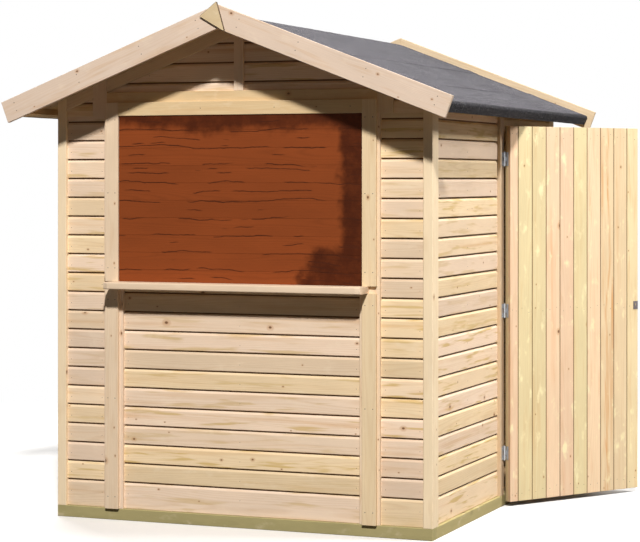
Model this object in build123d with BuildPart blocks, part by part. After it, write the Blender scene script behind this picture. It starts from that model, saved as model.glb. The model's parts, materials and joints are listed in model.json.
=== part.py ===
"""Timber pool house: a small board-clad kiosk with a serving window and a side door.

Millimetres. +X is to the right seen from the serving side, +Y runs from front to back, +Z is up.
The origin is the centre of the footprint, at ground level.
"""
from build123d import *
from math import cos, radians, sin, tan
import os

os.makedirs("parts", exist_ok=True)

# House, measured over the corner posts, and the height where the boards over its openings start
house_width = 2030.0
house_depth = 2160.0
head_height = 2050.0

# Base frame and floor
base_height = 58.0
base_beam_width = 60.0
joist_width = 60.0
joist_count = 3
floor_thickness = 18.0
floor_clearance = 2.0

# Walls
board_thickness = 18.0
board_recess = 18.0
corner_post_width = 48.0
corner_post_depth = 90.0
stud_size = 45.0
back_stud_offset = 320.0
side_stud_offset = 330.0
arris = 2.0

# Roof, with rises measured square to the slope
roof_slope = 21.0
eave_margin = 75.0
eave_overhang = 170.0
eave_inset = 42.0
gable_overhang = 254.0
deck_thickness = 18.0
felt_thickness = 4.0
eave_batten_width = 40.0
eave_batten_depth = 32.0
barge_width = 110.0
barge_thickness = 20.0
barge_rise = 37.0
purlin_width = 45.0
purlin_depth = 95.0
purlin_clearance = 0.5
top_plate_width = 45.0
top_plate_depth = 48.0

# Serving window, counter and gable trim
front_panel_width = 220.5
window_post_width = 105.0
window_post_depth = 45.0
window_post_reveal = 18.5
trim_width = 73.0
trim_thickness = 18.0
head_trim_height = 68.0
header_height = 120.0
gable_strip_width = 50.0
gable_block_width = 80.0
counter_height = 1212.0
counter_thickness = 35.0
counter_end_lap = 30.0
counter_overhang = 110.0
counter_corner_radius = 12.0
counter_edge_radius = 6.0
hatch_thickness = 12.0
hatch_clearance = 3.0

# Plaque at the gable's apex
plaque_width = 117.0
plaque_length = 146.0
plaque_thickness = 12.0
plaque_drop = 79.0
plaque_tilt = 38.0
plaque_corner_radius = 5.0
plaque_bevel = 2.0

# Doorway
door_opening_width = 893.0
door_post_width = 62.0
door_head_depth = 65.0

# Door leaf, closing against the outside of its posts
door_rest_angle = 33.0
leaf_gap = 5.0
leaf_ground_clearance = 25.0
leaf_head_lap = 25.0
leaf_hinge_lap = 9.0
leaf_latch_lap = 20.0
leaf_board_thickness = 18.0
leaf_frame_thickness = 22.0
leaf_stile_width = 80.0
leaf_rail_width = 100.0
leaf_brace_width = 105.0

# Butt hinges and lock
hinge_bottom_inset = 256.0
hinge_top_inset = 174.0
hinge_length = 72.0
hinge_plate_width = 24.0
hinge_plate_thickness = 2.0
hinge_pin_standoff = 8.0
hinge_edge_gap = 9.0
knuckle_radius = 7.0
knuckle_gap = 0.5
pin_radius = 3.5
pin_clearance = 0.05
pin_head_radius = 5.0
pin_head_height = 3.0
lock_height = 1034.0
lock_plate_width = 32.0
lock_plate_height = 44.0
lock_plate_thickness = 2.5
lock_plate_inset = 2.0
keyhole_radius = 4.0
keyhole_slot_width = 4.0
keyhole_slot_length = 12.0
lock_case_width = 70.0
lock_case_height = 88.0
lock_case_depth = 20.0
lock_case_clearance = 12.0
lock_case_radius = 4.0

# Planes and places worked out from the sizes above
slope = radians(roof_slope)
half_width = house_width / 2
half_depth = house_depth / 2
board_face_x = half_width - board_recess
board_back_x = board_face_x - board_thickness
board_face_y = half_depth - board_recess
board_back_y = board_face_y - board_thickness
post_inner_x = half_width - corner_post_width
post_inner_y = half_depth - corner_post_depth
floor_top = base_height + floor_thickness

deck_ridge = head_height + eave_margin + half_width * tan(slope) + deck_thickness / cos(slope)
deck_half_length = half_depth + gable_overhang - barge_thickness
eave_run = (half_width + eave_overhang) / cos(slope)
deck_run = eave_run - eave_inset
barge_top_rise = felt_thickness + barge_rise
eave_bottom_rise = -deck_thickness - eave_batten_depth

window_post_outer = post_inner_x - front_panel_width
window_post_inner = window_post_outer - window_post_width
trim_inner = window_post_inner + window_post_reveal
trim_outer = trim_inner + trim_width
counter_bottom = counter_height - counter_thickness
purlin_offset = trim_outer + gable_block_width / 2

door_opening_top = head_height - door_head_depth
door_post_back = post_inner_y - door_opening_width
door_post_front = door_post_back - door_post_width
leaf_top = door_opening_top + leaf_head_lap
pin_x = half_width + hinge_pin_standoff
pin_y = door_post_back - leaf_hinge_lap - hinge_edge_gap
leaf_width = leaf_hinge_lap + door_opening_width + leaf_latch_lap
leaf_inner_x = leaf_gap - hinge_pin_standoff
leaf_board_x = leaf_inner_x + leaf_frame_thickness
leaf_outer_x = leaf_board_x + leaf_board_thickness
leaf_far_y = hinge_edge_gap + leaf_width
leaf_height = leaf_top - leaf_ground_clearance


def roof_height(x, rise):
    """Height at x of a plane that lies parallel to the roof, rise above the top of the deck."""
    return deck_ridge + rise / cos(slope) - abs(x) * tan(slope)


def slope_point(side, run, rise):
    """Point run down one slope from the ridge and rise square above the top of the deck."""
    x = run * cos(slope) + rise * sin(slope)
    return (side * x, deck_ridge - run * sin(slope) + rise * cos(slope))


def slope_outline(side, low_rise, high_rise, run):
    """Section of a board in the roof slope: plumb cut at the ridge, square cut at the eave."""
    return [
        (0, roof_height(0, low_rise)),
        slope_point(side, run, low_rise),
        slope_point(side, run, high_rise),
        (0, roof_height(0, high_rise)),
    ]


def wall_outline(x_from, x_to, z_from):
    """Section of something upright that runs from z_from to the underside of the roof deck."""
    return [
        (x_from, z_from),
        (x_to, z_from),
        (x_to, roof_height(x_to, -deck_thickness)),
        (x_from, roof_height(x_from, -deck_thickness)),
    ]


def front_plane(y):
    """Plane parallel to the front wall at y, with its normal towards the front."""
    return Plane.XZ.offset(-y)


def write(piece, label):
    piece.part.label = label
    export_step(piece.part, f"parts/{label}.step")


def block(x_span, y_span, z_span):
    """Box between two values on each axis, inside the builder that calls it."""
    spans = (x_span, y_span, z_span)
    with Locations(tuple((low + high) / 2 for low, high in spans)):
        Box(*(high - low for low, high in spans))


def cross_section(outline, y_front, y_back, mode=Mode.ADD):
    """Section across the house carried from y_back to y_front, inside the builder that calls it."""
    with BuildSketch(front_plane(y_back)) as section:
        with BuildLine():
            Polyline(*outline, close=True)
        make_face()
    extrude(section.sketch, amount=y_back - y_front, mode=mode)


# Base frame: two long beams with two between them, and joists under the floor
for end, place in (("front", -1), ("back", 1)):
    with BuildPart() as base_cross_beam:
        with Locations((0, place * (half_depth - base_beam_width / 2), base_height / 2)):
            Box(house_width, base_beam_width, base_height)
        chamfer(base_cross_beam.edges().filter_by(Axis.X).group_by(Axis.Z)[-1], arris)
    write(base_cross_beam, f"base_{end}")

for end, place in (("left", -1), ("right", 1)):
    with BuildPart() as base_side_beam:
        with Locations((place * (half_width - base_beam_width / 2), 0, base_height / 2)):
            Box(base_beam_width, house_depth - 2 * base_beam_width, base_height)
        chamfer(base_side_beam.edges().filter_by(Axis.Y).group_by(Axis.Z)[-1], arris)
    write(base_side_beam, f"base_{end}")

with BuildPart() as floor_joists:
    joist_pitch = (house_depth - base_beam_width) / (joist_count + 1)
    with BuildSketch():
        with GridLocations(house_width, joist_pitch, 1, joist_count):
            Rectangle(house_width - 2 * base_beam_width, joist_width)
    extrude(amount=base_height)
write(floor_joists, "floor_joists")

# Floor, notched round the corner posts and the window posts
with BuildPart() as floor_deck:
    with BuildSketch(Plane.XY.offset(base_height)):
        Rectangle(2 * (board_back_x - floor_clearance), 2 * (board_back_y - floor_clearance))
        with GridLocations(house_width, house_depth, 2, 2):
            Rectangle(
                2 * (corner_post_width + floor_clearance),
                2 * (corner_post_depth + floor_clearance),
                mode=Mode.SUBTRACT,
            )
        with Locations((0, -half_depth)):
            with GridLocations(window_post_inner + window_post_outer, 0, 2, 1):
                Rectangle(
                    window_post_width + 2 * floor_clearance,
                    2 * (window_post_depth + floor_clearance),
                    mode=Mode.SUBTRACT,
                )
    extrude(amount=floor_thickness)
write(floor_deck, "floor_deck")

# Corner posts, cut to the roof slope
for side_name, side in (("left", -1), ("right", 1)):
    for end, y_front in (("front", -half_depth), ("back", post_inner_y)):
        with BuildPart() as corner_post:
            outline = wall_outline(side * post_inner_x, side * half_width, base_height)
            cross_section(outline, y_front, y_front + corner_post_depth)
            chamfer(corner_post.edges().filter_by(Axis.Z), arris)
        write(corner_post, f"corner_post_{end}_{side_name}")

# Side walls: a whole panel on the left, a panel and a strip over the door on the right
with BuildPart() as left_wall:
    outline = wall_outline(-board_back_x, -board_face_x, base_height)
    cross_section(outline, -post_inner_y, post_inner_y)
write(left_wall, "left_wall")

with BuildPart() as right_wall:
    outline = wall_outline(board_back_x, board_face_x, base_height)
    cross_section(outline, -post_inner_y, door_post_front)
write(right_wall, "right_wall")

with BuildPart() as right_wall_over_door:
    outline = wall_outline(board_back_x, board_face_x, head_height)
    cross_section(outline, door_post_back, post_inner_y)
write(right_wall_over_door, "right_wall_over_door")

with BuildPart() as door_post:
    outline = wall_outline(board_back_x, half_width, base_height)
    cross_section(outline, door_post_front, door_post_back)
    chamfer(door_post.edges().filter_by(Axis.Z), arris)
write(door_post, "door_post")

with BuildPart() as door_head:
    block(
        (board_back_x, half_width),
        (door_post_back, post_inner_y),
        (door_opening_top, head_height),
    )
    chamfer(door_head.edges().filter_by(Axis.Y).group_by(Axis.X)[-1], arris)
write(door_head, "door_head")


def purlin_outline(offset, clearance):
    """Section of a purlin, its top cut to the roof and its sides grown by a clearance."""
    half = purlin_width / 2 + clearance
    bottom = roof_height(offset, -deck_thickness) - purlin_depth - clearance
    xs = [offset - half, offset + half]
    if offset == 0:
        xs.insert(1, 0)
    top = [(x, roof_height(x, -deck_thickness)) for x in reversed(xs)]
    return [(xs[0], bottom), (xs[-1], bottom)] + top


def gable_wall(x_half, z_from, y_front, y_back):
    """Gable boarding with pockets at the roof line for the purlins, inside the calling builder."""
    outline = [
        (-x_half, z_from),
        (x_half, z_from),
        (x_half, roof_height(x_half, -deck_thickness)),
        (0, roof_height(0, -deck_thickness)),
        (-x_half, roof_height(x_half, -deck_thickness)),
    ]
    cross_section(outline, y_front, y_back)
    for offset in (-purlin_offset, 0, purlin_offset):
        cross_section(purlin_outline(offset, purlin_clearance), y_front, y_back, Mode.SUBTRACT)


with BuildPart() as back_wall:
    gable_wall(post_inner_x, base_height, board_back_y, board_face_y)
write(back_wall, "back_wall")

with BuildPart() as front_gable:
    gable_wall(post_inner_x, head_height, -board_face_y, -board_back_y)
write(front_gable, "front_gable")

# Front wall beside and under the serving window
for side_name, side in (("left", -1), ("right", 1)):
    with BuildPart() as front_panel:
        panel_centre = side * (window_post_outer + front_panel_width / 2)
        block(
            (panel_centre - front_panel_width / 2, panel_centre + front_panel_width / 2),
            (-board_face_y, -board_back_y),
            (base_height, head_height),
        )
    write(front_panel, f"front_wall_{side_name}")

with BuildPart() as front_apron:
    block(
        (-window_post_inner, window_post_inner),
        (-board_face_y, -board_back_y),
        (base_height, counter_bottom),
    )
write(front_apron, "front_wall_under_counter")

with BuildPart() as window_posts:
    post_centre = (window_post_inner + window_post_outer) / 2
    with BuildSketch(Plane.XY.offset(base_height)):
        with Locations((0, -half_depth + window_post_depth / 2)):
            with GridLocations(2 * post_centre, 0, 2, 1):
                Rectangle(window_post_width, window_post_depth)
    extrude(amount=head_height - base_height)
    chamfer(window_posts.edges().filter_by(Axis.Z), arris)
write(window_posts, "window_posts")

with BuildPart() as window_header:
    block(
        (-trim_outer, trim_outer),
        (-half_depth, -board_face_y),
        (head_height, head_height + header_height),
    )
    chamfer(window_header.edges().filter_by(Axis.X).group_by(Axis.Y)[0], arris)
write(window_header, "window_header")

# Window trim, interrupted where the counter passes
trim_top = head_height + head_trim_height
for side_name, side in (("left", -1), ("right", 1)):
    with BuildPart() as window_trim:
        trim_centre = side * (trim_inner + trim_outer) / 2
        for z_low, z_high in ((base_height, counter_bottom), (counter_height, trim_top)):
            with BuildSketch(Plane.XY.offset(z_low)):
                with Locations((trim_centre, -half_depth - trim_thickness / 2)):
                    Rectangle(trim_width, trim_thickness)
            extrude(amount=z_high - z_low)
        chamfer(window_trim.edges().filter_by(Axis.Z).group_by(Axis.Y)[0], arris)
    write(window_trim, f"window_trim_{side_name}")

with BuildPart() as window_head_trim:
    block(
        (-trim_inner, trim_inner),
        (-half_depth - trim_thickness, -half_depth),
        (head_height, trim_top),
    )
    chamfer(window_head_trim.edges().filter_by(Axis.X).group_by(Axis.Y)[0], arris)
write(window_head_trim, "window_head_trim")

# Counter: a board that passes between the posts and widens in front of them
with BuildPart() as counter:
    counter_front = -half_depth - trim_thickness - counter_overhang
    counter_back = -half_depth + window_post_depth
    with BuildSketch(Plane.XY.offset(counter_bottom)) as counter_plan:
        with Locations((0, (counter_front - half_depth) / 2)):
            Rectangle(2 * (trim_inner + counter_end_lap), -half_depth - counter_front)
        fillet(counter_plan.vertices().group_by(Axis.Y)[0], counter_corner_radius)
        with Locations((0, (counter_back - half_depth) / 2)):
            Rectangle(2 * window_post_inner, counter_back + half_depth)
    extrude(amount=counter_thickness)
    front_edges = counter.edges().filter_by(Axis.X).group_by(Axis.Y)[0]
    fillet(front_edges, counter_edge_radius)
write(counter, "counter")

with BuildPart() as hatch:
    block(
        (-trim_inner + hatch_clearance, trim_inner - hatch_clearance),
        (-half_depth - hatch_thickness, -half_depth),
        (counter_height, head_height),
    )
write(hatch, "hatch_panel")

# Strips that cover the purlin pockets on the front gable
with BuildPart() as gable_covers:
    strip_half = gable_strip_width / 2
    strip_bottom = head_height + header_height
    strip_outline = [
        (-strip_half, strip_bottom),
        (strip_half, strip_bottom),
        (strip_half, roof_height(strip_half, -deck_thickness)),
        (0, roof_height(0, -deck_thickness)),
        (-strip_half, roof_height(strip_half, -deck_thickness)),
    ]
    cross_section(strip_outline, -half_depth, -board_face_y)
    for side in (-1, 1):
        block_outline = wall_outline(
            side * trim_outer, side * (trim_outer + gable_block_width), head_height
        )
        cross_section(block_outline, -half_depth, -board_face_y)
write(gable_covers, "gable_cover_strips")

# Framing inside: studs against the boards and a plate along the top of each side wall
plate_bottom = roof_height(board_back_x, -deck_thickness) - top_plate_depth
with BuildPart() as wall_studs:
    for side, ys in (
        (-1, (-side_stud_offset, side_stud_offset)),
        (1, ((door_post_front - post_inner_y) / 2,)),
    ):
        with BuildSketch(Plane.XY.offset(floor_top)):
            with Locations(*[(side * (board_back_x - stud_size / 2), y) for y in ys]):
                Rectangle(stud_size, stud_size)
        extrude(amount=plate_bottom - floor_top)
    with BuildSketch(Plane.XY.offset(floor_top)):
        with Locations((0, -board_back_y + stud_size / 2)):
            Rectangle(stud_size, stud_size)
    extrude(amount=counter_bottom - floor_top)
    for side in (-1, 1):
        stud_near = side * (back_stud_offset - stud_size / 2)
        stud_far = side * (back_stud_offset + stud_size / 2)
        stud_outline = wall_outline(stud_near, stud_far, floor_top)
        cross_section(stud_outline, board_back_y - stud_size, board_back_y)
write(wall_studs, "wall_studs")

with BuildPart() as top_plates:
    for side in (-1, 1):
        outline = wall_outline(
            side * (board_back_x - top_plate_width), side * board_back_x, plate_bottom
        )
        cross_section(outline, -post_inner_y, post_inner_y)
write(top_plates, "top_plates")

with BuildPart() as purlins:
    for offset in (-purlin_offset, 0, purlin_offset):
        cross_section(purlin_outline(offset, 0), -board_face_y, board_face_y)
write(purlins, "purlins")

# Roof: boarded deck, battens under its edges, felt turned down over them, barge boards
for side_name, side in (("left", -1), ("right", 1)):
    with BuildPart() as roof_deck:
        outline = slope_outline(side, -deck_thickness, 0, deck_run)
        cross_section(outline, -deck_half_length, deck_half_length)
    write(roof_deck, f"roof_deck_{side_name}")

    with BuildPart() as roof_felt:
        felt_run = deck_run + felt_thickness
        outline = [
            (0, roof_height(0, 0)),
            slope_point(side, deck_run, 0),
            slope_point(side, deck_run, eave_bottom_rise),
            slope_point(side, felt_run, eave_bottom_rise),
            slope_point(side, felt_run, felt_thickness),
            (0, roof_height(0, felt_thickness)),
        ]
        cross_section(outline, -deck_half_length, deck_half_length)
    write(roof_felt, f"roof_felt_{side_name}")

    for end, y_front in (
        ("front", -deck_half_length - barge_thickness),
        ("back", deck_half_length),
    ):
        with BuildPart() as barge_board:
            outline = slope_outline(side, barge_top_rise - barge_width, barge_top_rise, eave_run)
            cross_section(outline, y_front, y_front + barge_thickness)
        write(barge_board, f"barge_board_{end}_{side_name}")

with BuildPart() as eave_battens:
    for side in (-1, 1):
        batten_run = deck_run - eave_batten_width
        outline = [
            slope_point(side, batten_run, eave_bottom_rise),
            slope_point(side, deck_run, eave_bottom_rise),
            slope_point(side, deck_run, -deck_thickness),
            slope_point(side, batten_run, -deck_thickness),
        ]
        cross_section(outline, -deck_half_length, deck_half_length)
write(eave_battens, "eave_battens")

# Bare three-cornered plaque on the front barge boards
with BuildPart() as plaque:
    plaque_centre = roof_height(0, barge_top_rise) - plaque_drop
    with BuildSketch(front_plane(-deck_half_length - barge_thickness)) as plaque_face:
        with Locations((0, plaque_centre)):
            Polygon(
                (-plaque_width / 2, plaque_length / 2),
                (plaque_width / 2, plaque_length / 2),
                (0, -plaque_length / 2),
                rotation=plaque_tilt,
                align=None,
            )
        fillet(plaque_face.vertices(), plaque_corner_radius)
    extrude(amount=plaque_thickness)
    chamfer(plaque.faces().sort_by(Axis.Y)[0].edges(), plaque_bevel)
write(plaque, "apex_plaque")

# Door leaf, drawn on a plane that turns about the hinge pin: local x points out of the leaf,
# local y runs from the hinge edge to the lock edge
opening = radians(door_rest_angle)
leaf_plane = Plane(
    origin=(pin_x, pin_y, 0),
    x_dir=(cos(opening), -sin(opening), 0),
    z_dir=(0, 0, 1),
)
lock_stile_y = leaf_far_y - leaf_stile_width
hinge_stile_y = hinge_edge_gap + leaf_stile_width
rail_heights = (
    leaf_ground_clearance + leaf_rail_width / 2,
    lock_height,
    leaf_top - leaf_rail_width / 2,
)


def leaf_face_plane(x):
    """Plane in the leaf at local x, with its own x along the leaf and its normal outwards."""
    origin = leaf_plane.from_local_coords(Vector(x, 0, 0))
    return Plane(origin=origin, x_dir=leaf_plane.y_dir, z_dir=leaf_plane.x_dir)


with BuildPart(leaf_plane) as door_leaf:
    block(
        (leaf_board_x, leaf_outer_x),
        (hinge_edge_gap, leaf_far_y),
        (leaf_ground_clearance, leaf_top),
    )
write(door_leaf, "door_leaf")

with BuildPart() as door_stiles:
    with BuildSketch(leaf_face_plane(leaf_inner_x)):
        with Locations((hinge_edge_gap + leaf_width / 2, leaf_ground_clearance + leaf_height / 2)):
            with GridLocations(leaf_width - leaf_stile_width, 0, 2, 1):
                Rectangle(leaf_stile_width, leaf_height)
    extrude(amount=leaf_frame_thickness)
write(door_stiles, "door_stiles")

with BuildPart() as door_rails:
    with BuildSketch(leaf_face_plane(leaf_inner_x)):
        with Locations(*[((hinge_stile_y + lock_stile_y) / 2, z) for z in rail_heights]):
            Rectangle(lock_stile_y - hinge_stile_y, leaf_rail_width)
    extrude(amount=leaf_frame_thickness)
write(door_rails, "door_rails")

with BuildPart() as door_braces:
    with BuildSketch(leaf_face_plane(leaf_inner_x)):
        for low_rail, high_rail in zip(rail_heights[:-1], rail_heights[1:]):
            z_low = low_rail + leaf_rail_width / 2
            z_high = high_rail - leaf_rail_width / 2
            with BuildLine():
                Polyline(
                    (hinge_stile_y, z_low),
                    (hinge_stile_y + leaf_brace_width, z_low),
                    (lock_stile_y, z_high),
                    (lock_stile_y - leaf_brace_width, z_high),
                    close=True,
                )
            make_face()
    extrude(amount=leaf_frame_thickness)
write(door_braces, "door_braces")

# Lock: a plate with a keyhole outside and a rim case inside
with BuildPart() as door_lock:
    plate_y = leaf_far_y - lock_plate_inset - lock_plate_width / 2
    with BuildSketch(leaf_face_plane(leaf_outer_x)):
        with Locations((plate_y, lock_height)):
            Rectangle(lock_plate_width, lock_plate_height)
            with Locations((0, keyhole_slot_length / 2)):
                Circle(keyhole_radius, mode=Mode.SUBTRACT)
            Rectangle(keyhole_slot_width, keyhole_slot_length, mode=Mode.SUBTRACT)
    extrude(amount=lock_plate_thickness)
    opening_edge_y = post_inner_y - pin_y
    case_y = opening_edge_y - lock_case_clearance - lock_case_width / 2
    with BuildSketch(leaf_face_plane(leaf_inner_x)):
        with Locations((case_y, lock_height)):
            RectangleRounded(lock_case_width, lock_case_height, lock_case_radius)
    extrude(amount=-lock_case_depth)
write(door_lock, "door_lock")

# Butt hinges: outer knuckles and pin on the post, middle knuckle on the leaf's hinge edge
hinge_heights = (
    leaf_ground_clearance + hinge_bottom_inset,
    lock_height,
    leaf_top - hinge_top_inset,
)
knuckle_length = (hinge_length - 2 * knuckle_gap) / 3
pin_plane = Plane(origin=(pin_x, pin_y, 0))
with BuildPart(pin_plane) as hinge_post_halves:
    for height in hinge_heights:
        plate_face = -hinge_pin_standoff
        block(
            (plate_face, plate_face + hinge_plate_thickness),
            (-hinge_plate_width, 0),
            (height - hinge_length / 2, height + hinge_length / 2),
        )
        for end in (-1, 1):
            with Locations((0, 0, height + end * (knuckle_length + knuckle_gap))):
                Cylinder(knuckle_radius, knuckle_length)
            with Locations((0, 0, height + end * (hinge_length + pin_head_height) / 2)):
                Cylinder(pin_head_radius, pin_head_height)
        with Locations((0, 0, height)):
            Cylinder(pin_radius, hinge_length)
        plate_slot = knuckle_radius + hinge_pin_standoff
        with Locations((0, 0, height)):
            Cylinder(plate_slot, knuckle_length + 2 * knuckle_gap, mode=Mode.SUBTRACT)
            Cylinder(pin_radius, hinge_length)
write(hinge_post_halves, "hinge_post_halves")

with BuildPart(leaf_plane) as hinge_leaf_halves:
    for height in hinge_heights:
        plate_back = hinge_edge_gap - hinge_plate_thickness + knuckle_gap
        block(
            (knuckle_radius, knuckle_radius + hinge_plate_width - hinge_pin_standoff),
            (plate_back, hinge_edge_gap),
            (height - hinge_length / 2, height + hinge_length / 2),
        )
        block(
            (0, knuckle_radius),
            (0, hinge_edge_gap),
            (height - knuckle_length / 2, height + knuckle_length / 2),
        )
        with Locations((0, 0, height)):
            Cylinder(knuckle_radius, knuckle_length)
            Cylinder(pin_radius + pin_clearance, hinge_length, mode=Mode.SUBTRACT)
write(hinge_leaf_halves, "hinge_leaf_halves")
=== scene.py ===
import bpy
import json
import math
import numpy as np
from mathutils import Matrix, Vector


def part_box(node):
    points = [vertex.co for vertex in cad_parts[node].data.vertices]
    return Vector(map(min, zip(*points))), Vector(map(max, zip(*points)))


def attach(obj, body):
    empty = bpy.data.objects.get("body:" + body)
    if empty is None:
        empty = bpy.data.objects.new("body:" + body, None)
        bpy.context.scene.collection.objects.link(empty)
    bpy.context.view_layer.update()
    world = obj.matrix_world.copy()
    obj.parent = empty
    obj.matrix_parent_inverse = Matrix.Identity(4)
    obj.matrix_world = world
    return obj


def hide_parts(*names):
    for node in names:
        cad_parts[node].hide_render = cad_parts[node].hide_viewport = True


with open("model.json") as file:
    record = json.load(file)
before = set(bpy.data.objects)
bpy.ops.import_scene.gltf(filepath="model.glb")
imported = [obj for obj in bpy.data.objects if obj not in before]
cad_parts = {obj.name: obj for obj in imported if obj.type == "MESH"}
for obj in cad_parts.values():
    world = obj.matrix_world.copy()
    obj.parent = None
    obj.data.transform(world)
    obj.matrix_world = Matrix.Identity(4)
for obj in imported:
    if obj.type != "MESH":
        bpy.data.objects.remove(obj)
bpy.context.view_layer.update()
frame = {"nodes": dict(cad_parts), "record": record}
rng = np.random.default_rng(36)
axes = np.eye(3)
axisX, axisY, axisZ = axes
print("frame loaded with", len(frame["nodes"]), "nodes")


def nodeBox(node):
    low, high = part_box(node)
    return np.array(low), np.array(high)


# roof lines in the shared frame: run is measured down the slope, rise square to the deck's top
roof = dict(slope=math.radians(21), deckThick=0.018, ridgeGap=0.0004)
slopeCos = math.cos(roof["slope"])
slopeSin = math.sin(roof["slope"])
slopeTan = math.tan(roof["slope"])
deckHigh = nodeBox("roof_deck_right")[1]
deckRun = deckHigh[0] / slopeCos  # down the slope to the deck's edge
deckEnd, deckRidge = deckHigh[1:]


def roofUnder(x):
    # height of the deck's underside: it falls from the ridge by the slope's tangent
    return deckRidge - roof["deckThick"] / slopeCos - np.abs(x) * slopeTan


# each slope's name, its side of the ridge, and the unit vectors down it and square out of it
slopes = [(name, side, np.array((side * slopeCos, 0, -slopeSin)), np.array((side * slopeSin, 0, slopeCos)))
          for name, side in (("left", -1), ("right", 1))]


def linear(red, green, blue):
    # display values from 0 to 255 turned into linear light
    share = np.array((red, green, blue)) / 255
    return tuple(np.where(share <= 0.04045, share / 12.92, ((share + 0.055) / 1.055) ** 2.4))


class Wire:
    # a shader value that takes part in sums: each operator adds one math node to its tree
    def __init__(self, socket):
        self.socket = socket
        self.tree = socket.id_data

    def calc(self, operation, *others):
        return addNode(self.tree, "ShaderNodeMath", dict(enumerate((self, *others))), operation=operation)

    def __add__(self, other):
        return self.calc("ADD", other)

    def __sub__(self, other):
        return self.calc("SUBTRACT", other)

    def __mul__(self, other):
        return self.calc("MULTIPLY", other)

    def __truediv__(self, other):
        return self.calc("DIVIDE", other)

    def __pow__(self, other):
        return self.calc("POWER", other)

    def __abs__(self):
        return self.calc("ABSOLUTE")


def feed(socket, value):
    if isinstance(value, Wire):
        value.tree.links.new(value.socket, socket)
    elif socket.type == "RGBA":
        socket.default_value = (*value[:3], 1)
    else:
        socket.default_value = value


def addNode(tree, kind, values=None, output=0, **settings):
    made = tree.nodes.new(kind)
    for key, value in settings.items():
        setattr(made, key, value)
    for key, value in (values or {}).items():
        feed(made.inputs[key], value)
    return Wire(made.outputs[output])


def mixed(share, first, second, how="MIX"):
    tree = next(value.tree for value in (share, first, second) if isinstance(value, Wire))
    values = {0: share, 6: first, 7: second}
    return addNode(tree, "ShaderNodeMix", values, 2, data_type="RGBA", blend_type=how)


def ramped(value, low, high, toLow=0.0, toHigh=1.0):
    values = {0: value, 1: low, 2: high, 3: toLow, 4: toHigh}
    return addNode(value.tree, "ShaderNodeMapRange", values, interpolation_type="SMOOTHSTEP")


def noiseAt(vector, scale=1.0, detail=2.0, rough=0.5):
    values = {"Vector": vector, "Scale": scale, "Detail": detail, "Roughness": rough}
    return addNode(vector.tree, "ShaderNodeTexNoise", values)


def packed(x, y, z=0.0):
    return addNode(x.tree, "ShaderNodeCombineXYZ", {0: x, 1: y, 2: z})


def split(vector):
    made = vector.tree.nodes.new("ShaderNodeSeparateXYZ")
    feed(made.inputs[0], vector)
    return [Wire(socket) for socket in made.outputs]


def cells(place, perMetre, dimensions="3D"):
    # how far the nearest seed is, and three random numbers of that seed
    made = place.tree.nodes.new("ShaderNodeTexVoronoi")
    made.voronoi_dimensions = dimensions
    feed(made.inputs["Vector"], place)
    feed(made.inputs["Scale"], perMetre)
    return Wire(made.outputs["Distance"]), split(Wire(made.outputs["Color"]))


def bump(height, strength, distance):
    values = {"Height": height, "Strength": strength, "Distance": distance}
    return addNode(height.tree, "ShaderNodeBump", values)


def attribute(tree, name, output="Vector"):
    return addNode(tree, "ShaderNodeAttribute", output=output, attribute_name=name)


def objectPlace(tree):
    return addNode(tree, "ShaderNodeTexCoord", output="Object")


def around(field, depth):
    # a level that swings about one: half the depth down at 0, half of it up at 1
    return field * depth + (1 - depth / 2)


def shaded(colour, level):
    return mixed(1.0, colour, packed(level, level, level), "MULTIPLY")


def newMaterial(name):
    material = bpy.data.materials.new(name)
    material.use_nodes = True
    tree = material.node_tree
    tree.nodes.clear()
    shader = tree.nodes.new("ShaderNodeBsdfPrincipled")
    output = tree.nodes.new("ShaderNodeOutputMaterial")
    tree.links.new(shader.outputs[0], output.inputs[0])
    return material, tree, shader


def dress(shader, values):
    for key, value in values.items():
        feed(shader.inputs[key], value)


def finished(name, look, *finish):
    # a material whose sockets get what its look works out
    material, tree, shader = newMaterial(name)
    dress(shader, look(tree, *finish))
    return material


# how often each noise turns in a metre along, across and through a board
grainRates = dict(slow=(1.1, 5.0, 5.0), streak=(0.9, 24.0, 9.0), fibre=(14.0, 520.0, 520.0),
                  blotch=(3.2, 9.0, 9.0), smear=(3.4, 38.0, 12.0), polish=(9.0, 17.0, 17.0))
knots = dict(stretch=0.72, least=0.0019, spread=0.0052, core=(1.2, 0.7), halo=(3.6, 0.9), push=0.006)
growth = dict(wander=0.022, sharpness=3.0)
heart = dict(alongRate=1.6, deepRate=3.0, ragged=0.4, ringed=0.1, edge=(0.36, 0.14), figures=(0.75, 1.3))


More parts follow.
